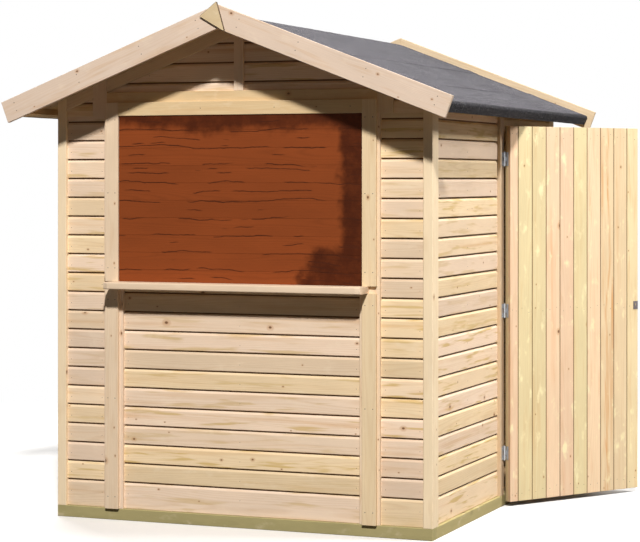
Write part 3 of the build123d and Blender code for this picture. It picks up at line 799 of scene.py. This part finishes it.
# framing: studs under the plates, one under the counter, and two up to the roof at the back
low, high = nodeBox("wall_studs")
size = stud["size"]
half = size / 2
plateFoot = nodeBox("top_plates")[0][2]
studs = [boxBoard((x, y - half, low[2]), (x + size, y - half + size, plateFoot), "z")
         for x, y in ((low[0], -stud["sideY"]), (low[0], stud["sideY"]), (high[0] - size, stud["rightY"]))]
studs.append(boxBoard((-half, low[1], low[2]), (half, low[1] + size, counterLow[2]), "z"))
studs += [roofCutPost((x - half, high[1] - size, low[2]), (x - half + size, high[1], high[2]))
          for x in (-stud["backX"], stud["backX"])]
joinery("studs", studs, "frame_timber", "wall_studs")

plates = [roofCutBeam(*box) for box in outerPair("top_plates", size)]
joinery("plates", plates, "frame_timber", "top_plates")

purlin = dict(half=0.0225, depth=0.095, uncut=0.12)
low, high = nodeBox("purlins")
beams = []
for centre in (low[0] + purlin["half"], 0.0, high[0] - purlin["half"]):
    foot = roofUnder(centre) - purlin["depth"]
    beams.append(roofCutBeam((centre - purlin["half"], low[1], foot),
                             (centre + purlin["half"], high[1], foot + purlin["uncut"])))
joinery("purlin_beams", beams, "frame_timber", "purlins")

batten = dict(width=0.04, depth=0.032)
boards = []
for _, side, down, out in slopes:
    origin = axisZ * deckRidge + down * deckRun - out * roof["deckThick"]
    # across runs back up the slope and the depth hangs below the deck
    boards.append(makeBoard(planedSection(batten["width"], batten["depth"]), origin, -side * axisY, -down,
                            -deckEnd, deckEnd))
joinery("battens", boards, "frame_timber", "eave_battens")

barge = dict(width=0.11, thick=0.02, lowRise=-0.069, pastDeck=0.042, light=0.45, figure=0.4)
for end, face, hue, wood in (("front", -deckEnd - barge["thick"], 0.35, "barge_trim_shaded"),
                             ("back", deckEnd, 0.6, "planed_trim")):
    for sideName, side, down, out in slopes:
        section = planedSection(barge["width"], barge["thick"], edges["trim"])
        near = face + barge["thick"] if side > 0 else face
        origin = np.array((0, near, deckRidge)) + out * barge["lowRise"]
        plumb = roof["ridgeGap"] - (section[:, 0] + barge["lowRise"]) * slopeTan  # upright cut at the ridge
        board = makeBoard(section, origin, down, out, plumb, deckRun + barge["pastDeck"], rings=8,
                          tone=(barge["light"], hue, barge["figure"]))
        place = "%s_%s" % (end, sideName)
        joinery("barge_" + place, [board], wood, "barge_board_" + place)

# plaque: a tilted triangle with rounded corners, its edge darker than its face
plaque = dict(width=0.117, length=0.146, tilt=math.radians(38), drop=0.079, corner=0.005, bevel=0.002,
              flat=0.9)
halfWidth, halfLength = plaque["width"] / 2, plaque["length"] / 2
corners = np.array([(0, -halfLength), (halfWidth, halfLength), (-halfWidth, halfLength)])
tiltCos, tiltSin = math.cos(plaque["tilt"]), math.sin(plaque["tilt"])
section = roundedOutline(corners @ np.array([(tiltCos, tiltSin), (-tiltSin, tiltCos)]), plaque["corner"], 12)
low, high = nodeBox("apex_plaque")
apex = deckRidge + (barge["lowRise"] + barge["width"]) / slopeCos
board = makeBoard(section, (0, high[1], apex - plaque["drop"]), -axisY, axisX, 0.0, high[1] - low[1],
                  arris=plaque["bevel"], rings=2)
piece = joinery("plaque_board", [board], "plaque_wood", "apex_plaque")
piece.data.materials.append(plaqueEdge)
polygons = piece.data.polygons
normals = np.zeros(len(polygons) * 3)
polygons.foreach_get("normal", normals)
polygons.foreach_set("material_index", (np.abs(normals.reshape(-1, 3)[:, 1]) < plaque["flat"]).astype(int))
print("framing, barge boards and plaque set")

# felt: three courses on each slope, the lowest folded down over the eave
felt = dict(
    sheet=0.003, fold=0.014, bulge=0.01, lip=-0.0495, lipGap=0.0015, courses=(0.0, 0.45, 0.86), lapWidth=0.07,
    lapRise=0.0032, lapSlope=0.02, lapBefore=0.015, lapFlat=0.1, lapFrom=0.085, bendFrom=0.01, seat=0.0004,
    courseStep=0.0002, ridgeGap=0.0012, endGap=0.0006, rings=110,
    wornFrom=0.012, thinnest=0.2, wave=0.0014, edgeWave=1.6,
    waveRates=(2.1, 4.7, 9.3, 17.0, 43.0), waveShares=(0.5, 0.35, 0.25, 0.2, 0.2))


def feltSheet(path, side, down, out, lift, thinEdge):
    # a path of (run, rise) given a thickness and carried along the ridge; the sheet lifts in slow waves
    chord = np.gradient(path, axis=0)
    normal = np.stack([-chord[:, 1], chord[:, 0]], 1)
    normal /= np.linalg.norm(normal, axis=1, keepdims=True)
    thick = np.full(len(path), felt["sheet"])
    if thinEdge:
        left = (path[-1, 0] - path[:, 0]) / felt["lapWidth"]
        thick = thick * np.clip(left + felt["thinnest"], felt["thinnest"], 1)
    ring = np.concatenate([path, (path + normal * thick[:, None])[::-1]])
    y = np.linspace(-deckEnd + felt["endGap"], deckEnd - felt["endGap"], felt["rings"])
    phase = rng.uniform(0, 2 * np.pi, len(felt["waveRates"]))
    wave = (np.sin(y[:, None] * felt["waveRates"] + phase) * felt["waveShares"]).sum(1) * felt["wave"] * lift
    lifted = np.concatenate([normal, normal[::-1]])
    flat = ring[None] + lifted[None] * np.abs(wave)[:, None, None]
    points = axisZ * deckRidge + flat[..., :1] * down + flat[..., 1:] * out + y[:, None, None] * axisY
    return points if side < 0 else points[::-1]


def eavePath(top, base):
    # stiff felt bulges past the deck's corner in a quarter circle and leans back against the batten
    turnAt = deckRun + felt["bulge"] - felt["fold"]
    arc = np.linspace(0, np.pi / 2, 8)
    inner = felt["fold"] - felt["sheet"]
    return np.concatenate([
        np.stack([np.linspace(top, turnAt - felt["bendFrom"], 8), np.full(8, base)], 1),
        np.stack([turnAt + inner * np.sin(arc), base - inner + inner * np.cos(arc)], 1),
        np.stack([np.linspace(turnAt + inner, deckRun + felt["lipGap"], 4)[1:],
                  np.linspace(base - inner, felt["lip"], 4)[1:]], 1)])


def coursePath(top, nextTop, base):
    # flat down the slope, then up over the next course by a smooth step
    low = nextTop + felt["lapWidth"]
    runs = np.concatenate([np.linspace(top, low - felt["lapFlat"], 6),
                           np.linspace(low - felt["lapFrom"], low, 6)])
    step = np.clip((runs - (nextTop - felt["lapBefore"])) / felt["lapSlope"], 0, 1)
    return np.stack([runs, base + felt["lapRise"] * step * step * (3 - 2 * step)], 1)


for sideName, side, down, out in slopes:
    sheets, worn = [], []
    for number, top in enumerate(felt["courses"]):
        below = felt["courses"][number + 1:]
        base = felt["seat"] + len(below) * felt["courseStep"]
        path = coursePath(top, below[0], base) if below else eavePath(top, base)
        if number == 0:
            path[0, 0] = felt["ridgeGap"]
        sheets.append(feltSheet(path, side, down, out, 1.0 if below else felt["edgeWave"], bool(below)))
        # painted shade with wear: the lowest sheet is painted near black where it bends over the edge, with
        # pale scuff flecks there
        bent = np.clip((path[:, 0] - deckRun) / felt["wornFrom"] + 1, 0, 1) * (not below)
        worn.append(np.concatenate([bent, bent[::-1]])[:, None])
    piece = addMesh("felt_" + sideName, sheets, feltFinish, worn=worn)
    settle(piece, "house", "roof_felt", "roof_felt_" + sideName)
print("felt laid in", len(felt["courses"]), "courses a side")

# door: places on the leaf are distances from the hinge, out of it, along it and up; tones go by board
joint = frame["record"]["behaviour"]["joints"][0]
hinge = np.array(joint["pos_m"])
leaf = dict(
    open=math.radians(-joint["range_deg"][0]), boardX=0.019, boardThick=0.018, frameX=-0.003,
    frameThick=0.022, near=0.009, far=0.931, low=0.025, high=2.01, pitch=0.0981, first=0.056,
    groove=0.0046, edgeShade=0.5, endGap=0.0007, uneven=0.0006, stile=0.08, rail=0.1, brace=0.105,
    frameGap=0.0004, railZ=(0.075, 1.034, 1.96), nailShares=(0.25, 0.75), nailScatter=0.014,
    lights=(0.4, 0.5, 0.35, 0.7, 0.35, 0.55, 0.9, 0.5, 0.4, 0.9),
    casts=(0.3, 0.8, 0.7, 0.35, 0.2, 0.75, 0.4, 0.5, 0.5, 0.6),
    figures=(0.3, 0.1, 0.3, 0.5, 0.2, 0.15, 0.2, 1.3, 0.35, 0.1))
leafOut = np.array((math.cos(leaf["open"]), -math.sin(leaf["open"]), 0))
leafAlong = np.array((math.sin(leaf["open"]), math.cos(leaf["open"]), 0))


def onLeaf(out, along, z):
    return hinge + leafOut * out + leafAlong * along + axisZ * z


boards, doorNails = [], []
row = tonguedRow(leaf["far"] - leaf["near"], leaf["boardThick"], leaf)
for (offset, section), *tone in zip(row, leaf["lights"], leaf["casts"], leaf["figures"], strict=True):
    start = leaf["endGap"] + rng.uniform(-leaf["uneven"], leaf["uneven"])
    end = leaf["high"] - leaf["low"] - leaf["endGap"]
    near = leaf["near"] + offset
    origin = onLeaf(leaf["boardX"], near, leaf["high"])
    boards.append(makeBoard(section, origin, -axisZ, leafAlong, start, end, rings=8, tone=tone))
    width = np.max(section[:, 0]) - tongueLength
    for z in leaf["railZ"]:
        for share in leaf["nailShares"]:
            scatter = rng.uniform(-leaf["nailScatter"], leaf["nailScatter"])
            doorNails.append(onLeaf(leaf["boardX"] + leaf["boardThick"], near + width * share, z + scatter))
joinery("door_boards", boards, "door_spruce", "door_leaf", body="door")


def leafPlank(y0, z0, y1, z1, width, levelCuts=None, edgeShade=0.0):
    # flat plank on the back of the leaf from one point to another, its ends square or cut level
    way = np.array((y1 - y0, z1 - z0))
    length = np.linalg.norm(way)
    way = way / length
    section = planedSection(width, leaf["frameThick"], edges["trim"])
    # the plank's far edge can carry painted shade
    section = np.column_stack([section, np.where(section[:, 0] > width - 1e-5, edgeShade, 0)])
    along = leafAlong * way[0] + axisZ * way[1]
    across = np.cross(leafOut, along)
    ends = (0.0, length)
    if levelCuts:
        ends = [(cut - z0 - section[:, 0] * across[2]) / along[2] for cut in levelCuts]
    return makeBoard(section, onLeaf(leaf["frameX"], y0, z0), along, across, *ends, rings=5)


# across points from the lock edge to the hinge edge for an upright plank, so it starts at its far side
stileIn = leaf["near"] + leaf["stile"]
stileOut = leaf["far"] - leaf["stile"]
# painted shade on the hinge edge of the stile, as on the first door board
stiles = [leafPlank(y, leaf["low"], y, leaf["high"], leaf["stile"], edgeShade=dirt)
          for y, dirt in ((stileIn, leaf["edgeShade"]), (leaf["far"], 0.0))]
joinery("door_stile_pair", stiles, "door_spruce", "door_stiles", body="door")
halfRail = leaf["rail"] / 2
gap = leaf["frameGap"]
rails = [leafPlank(stileIn + gap, z - halfRail, stileOut - gap, z - halfRail, leaf["rail"])
         for z in leaf["railZ"]]
joinery("door_rail_set", rails, "door_spruce", "door_rails", body="door")
braces = []
for lowRail, highRail in zip(leaf["railZ"][:-1], leaf["railZ"][1:]):
    z0 = lowRail + halfRail + gap
    z1 = highRail - halfRail - gap
    y0 = stileIn + leaf["brace"]
    lean = math.atan2(z1 - z0, stileOut - y0)
    braces.append(leafPlank(y0, z0, stileOut, z1, leaf["brace"] * math.sin(lean), (z0, z1)))
joinery("door_brace_pair", braces, "door_spruce", "door_braces", body="door")
print("door boards and frame set")

# nails and screws: hollow is the height of the middle, as a share of the crown
heads = dict(nail=dict(radius=0.0018, crown=0.0006, hollow=1.0, steel="dull_steel"),
             trimScrew=dict(radius=0.0026, crown=0.0007, hollow=0.4, steel="dull_steel"),
             postScrew=dict(radius=0.0034, crown=0.0006, hollow=0.3, steel="zinc_steel"),
             leafScrew=dict(radius=0.0034, crown=0.0005, hollow=0.3, steel="zinc_steel"))


def setHeads(name, body, kind, centres, normals):
    # low dome turned round each nail's axis: radius and height step from the rim to the crown
    head = heads[kind]
    profile = np.array([(1.0, -0.5), (1.0, 0.3), (0.7, 0.85), (0.34, head["hollow"])])
    centres = np.asarray(centres)
    normals = np.broadcast_to(normals, centres.shape)
    helper = np.where(np.abs(normals[:, 2:]) > 0.9, axisX, axisZ)
    side = np.cross(helper, normals)
    side /= np.linalg.norm(side, axis=1, keepdims=True)
    up = np.cross(normals, side)
    angle = np.linspace(0, 2 * np.pi, 9)[:-1]
    ring = np.cos(angle)[:, None] * side[:, None, :] + np.sin(angle)[:, None] * up[:, None, :]
    points = centres[:, None, None] + head["radius"] * profile[:, 0][None, :, None, None] * ring[:, None]
    points = points + head["crown"] * profile[:, 1][None, :, None, None] * normals[:, None, None, :]
    settle(addMesh(name, points, metals[head["steel"]]), body, "zinc_steel")


setHeads("wall_nails", "house", "nail", nailPlaces, nailNormals)
setHeads("door_nails", "door", "nail", doorNails, leafOut)

hingeScrews = dict(z=(0.281, 1.034, 1.836), postX=1.017, postBack=0.0155, onPost=(-0.027, 0.027),
                   leafX=0.0165, leafEdge=0.0075, inLeaf=(-0.027, 0, 0.027))
places = [(hingeScrews["postX"], hinge[1] - hingeScrews["postBack"], z + dz)
          for z in hingeScrews["z"] for dz in hingeScrews["onPost"]]
setHeads("hinge_screws_post", "house", "postScrew", places, axisX)
places = [onLeaf(hingeScrews["leafX"], hingeScrews["leafEdge"], z + dz)
          for z in hingeScrews["z"] for dz in hingeScrews["inLeaf"]]
setHeads("hinge_screws_leaf", "door", "leafScrew", places, -leafAlong)

trimScrews = dict(casingX=0.6965, apart=0.02, casingZ=(0.12, 0.62, 1.12, 1.28, 1.66, 2.03),
                  headX=(-0.6, -0.2, 0.2, 0.6), headZ=2.084, bargeRuns=(0.12, 0.45, 0.82, 1.2),
                  bargeRises=(-0.03, 0.012))
trimFront = nodeBox("window_trim_left")[0][1]
places = [(x + dx, trimFront, z) for x in (-trimScrews["casingX"], trimScrews["casingX"])
          for z in trimScrews["casingZ"] for dx in (-trimScrews["apart"], trimScrews["apart"])]
places += [(x, trimFront, trimScrews["headZ"]) for x in trimScrews["headX"]]
setHeads("trim_screws", "house", "trimScrew", places, -axisY)

places, normals = [], []
for _, side, down, out in slopes:
    for end in (-1, 1):
        corner = np.array((0, end * (deckEnd + barge["thick"]), deckRidge))
        places += [corner + down * run + out * rise
                   for run in trimScrews["bargeRuns"] for rise in trimScrews["bargeRises"]]
        normals += [end * axisY] * (len(places) - len(normals))
setHeads("barge_screws", "house", "trimScrew", places, normals)

for node, steel in (("hinge_post_halves", "zinc_steel"), ("hinge_leaf_halves", "zinc_steel"),
                    ("door_lock", "lock_steel")):
    slots = frame["nodes"][node].data.materials
    slots.clear()
    slots.append(metals[steel])
print("nails and screws set")

# rake boards on the front gable's boards, right under the roof
rake = dict(height=0.056, thick=0.014, gap=0.0006)
gap = rake["gap"]
blockOuter = nodeBox("gable_cover_strips")[1][0]
rakeSpans = ((covers["stripHalf"], blockOuter - covers["blockWidth"]), (blockOuter, postX))
wallFace = nodeBox("front_gable")[0][1]
boards = []
for _, side, down, out in slopes:
    section = planedSection(rake["height"], rake["thick"])
    near = wallFace - gap - (0 if side > 0 else rake["thick"])
    lowRise = -roof["deckThick"] - gap - rake["height"]
    origin = np.array((0, near, deckRidge)) + out * lowRise
    # upright end cuts: at a given x the run is x / cosine less the rise times the slope's tangent
    plumb = -(section[:, 0] + lowRise) * slopeTan
    for first, last in rakeSpans:
        start = (first + gap) / slopeCos + plumb
        end = (last - gap) / slopeCos + plumb
        boards.append(makeBoard(section, origin, down, out, start, end, tone=trimTones["rake"]))
joinery("gable_rakes", boards, "planed_trim")
print("rake boards set")

# floor, light and camera
stage = dict(radius=40.0, sides=64, clearFrom=2.4, clearTo=5.5, tone=0.9, bounce=(0.066, 0.057, 0.046),
             fill=0.036, fillColour=(1.0, 0.94, 0.86), white=(1, 1, 1))


def stageRays(tree):
    # rays that see the backdrop: from the camera, in mirrors and through glass
    rays = tree.nodes.new("ShaderNodeLightPath")
    camera, mirrors, glass = [Wire(rays.outputs["Is %s Ray" % kind])
                              for kind in ("Camera", "Glossy", "Transmission")]
    return camera.calc("MAXIMUM", mirrors).calc("MAXIMUM", glass)


def blended(share, first, second):
    return addNode(share.tree, "ShaderNodeMixShader", {0: share, 1: first, 2: second})


turns = np.linspace(0, 2 * np.pi, stage["sides"] + 1)[:-1]
disc = np.stack([np.cos(turns), np.sin(turns), np.zeros(stage["sides"])], 1) * stage["radius"]
ground = bpy.data.meshes.new("ground")
ground.from_pydata(disc.tolist(), [], [list(range(stage["sides"]))])
material, tree, shader = newMaterial("pale_floor")
seen = stageRays(tree)
dress(shader, {"Base Color": mixed(seen, stage["bounce"], (stage["tone"],) * 3), "Roughness": 0.9,
               "Specular IOR Level": 0.1})
white = addNode(tree, "ShaderNodeEmission", {"Color": stage["white"], "Strength": 1.0})
x, y, _ = split(objectPlace(tree))
far = ramped((x * x + y * y).calc("SQRT"), stage["clearFrom"], stage["clearTo"])
feed(tree.get_output_node("ALL").inputs[0], blended(far * seen, Wire(shader.outputs[0]), white))
ground.materials.append(material)
floorDisc = bpy.data.objects.new("ground", ground)
bpy.context.scene.collection.objects.link(floorDisc)

world = bpy.data.worlds.new("studio")
bpy.context.scene.world = world
world.use_nodes = True
tree = world.node_tree
tree.nodes.clear()
fill = addNode(tree, "ShaderNodeBackground", {"Color": stage["fillColour"], "Strength": stage["fill"]})
white = addNode(tree, "ShaderNodeBackground", {"Color": stage["white"], "Strength": 1.0})
output = tree.nodes.new("ShaderNodeOutputWorld")
feed(output.inputs[0], blended(stageRays(tree), fill, white))

# angles in degrees, lengths in metres, power in watts
lampAim = (0, 0, 1.2)
lamps = {
    "key": dict(azimuth=23.4, elevation=38.5, distance=21.6, size=1.25, power=5200, colour=(1.0, 0.98, 0.95)),
    "side_fill": dict(azimuth=102, elevation=40, distance=12, size=3, power=1090, colour=(1.0, 0.985, 0.96)),
    "back_fill": dict(azimuth=222, elevation=35, distance=12, size=6, power=1080, colour=(1.0, 0.99, 0.98)),
}


def softBox(name, azimuth, elevation, distance, size, power, colour):
    # square lamp on a sphere round the house, facing its middle; azimuth 0 is in front, 90 on the right
    a = math.radians(azimuth)
    e = math.radians(elevation)
    lamp = bpy.data.lights.new(name, "AREA")
    lamp.shape = "SQUARE"
    lamp.size = size
    lamp.energy = power
    lamp.color = colour
    holder = bpy.data.objects.new(name, lamp)
    back = np.array((math.sin(a) * math.cos(e), -math.cos(a) * math.cos(e), math.sin(e)))
    holder.location = back * distance + np.array(lampAim)
    holder.rotation_euler = (math.pi / 2 - e, 0, a)
    bpy.context.scene.collection.objects.link(holder)


for name, lamp in lamps.items():
    softBox(name, **lamp)

camera = dict(place=(4.229, -10.569, 1.734), turn=21.79, lens=117.8, sensor=36.0, shiftY=-0.1448)
view = bpy.data.cameras.new("camera")
view.sensor_width = camera["sensor"]
view.sensor_fit = "HORIZONTAL"
view.lens = camera["lens"]
view.shift_y = camera["shiftY"]
holder = bpy.data.objects.new("camera", view)
holder.location = camera["place"]
holder.rotation_euler = (math.pi / 2, 0, math.radians(camera["turn"]))
bpy.context.scene.collection.objects.link(holder)
bpy.context.scene.camera = holder
bpy.context.scene.view_settings.view_transform = "Standard"

print("scene ready")
